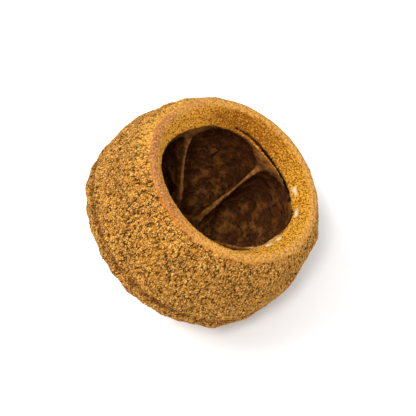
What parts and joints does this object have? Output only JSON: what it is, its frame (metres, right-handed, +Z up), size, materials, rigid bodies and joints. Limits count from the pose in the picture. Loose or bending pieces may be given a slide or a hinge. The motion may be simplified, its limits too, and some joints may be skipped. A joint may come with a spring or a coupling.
{
  "type": "sapucaia pod",
  "caption": "Empty woody seed pod shaped as a round-bellied pot, lid shed, with a bevelled mouth and a hollow divided by partitions, lying tilted on a small flat spot.",
  "frame": {"origin": "on the resting surface, under the middle of the pod's outline", "axes": "+Z up from the resting surface; the mouth leans 27.8 degrees from +Z towards +X; +Y completes the right-handed frame"},
  "size_m": [0.1295, 0.1309, 0.115],
  "materials": {
    "pericarp": "dry, corky, matt golden-brown crust with a smoother rim and a dark brown inside"
  },
  "bodies": {
    "root": {"pod": "pericarp"}
  },
  "joints": []
}
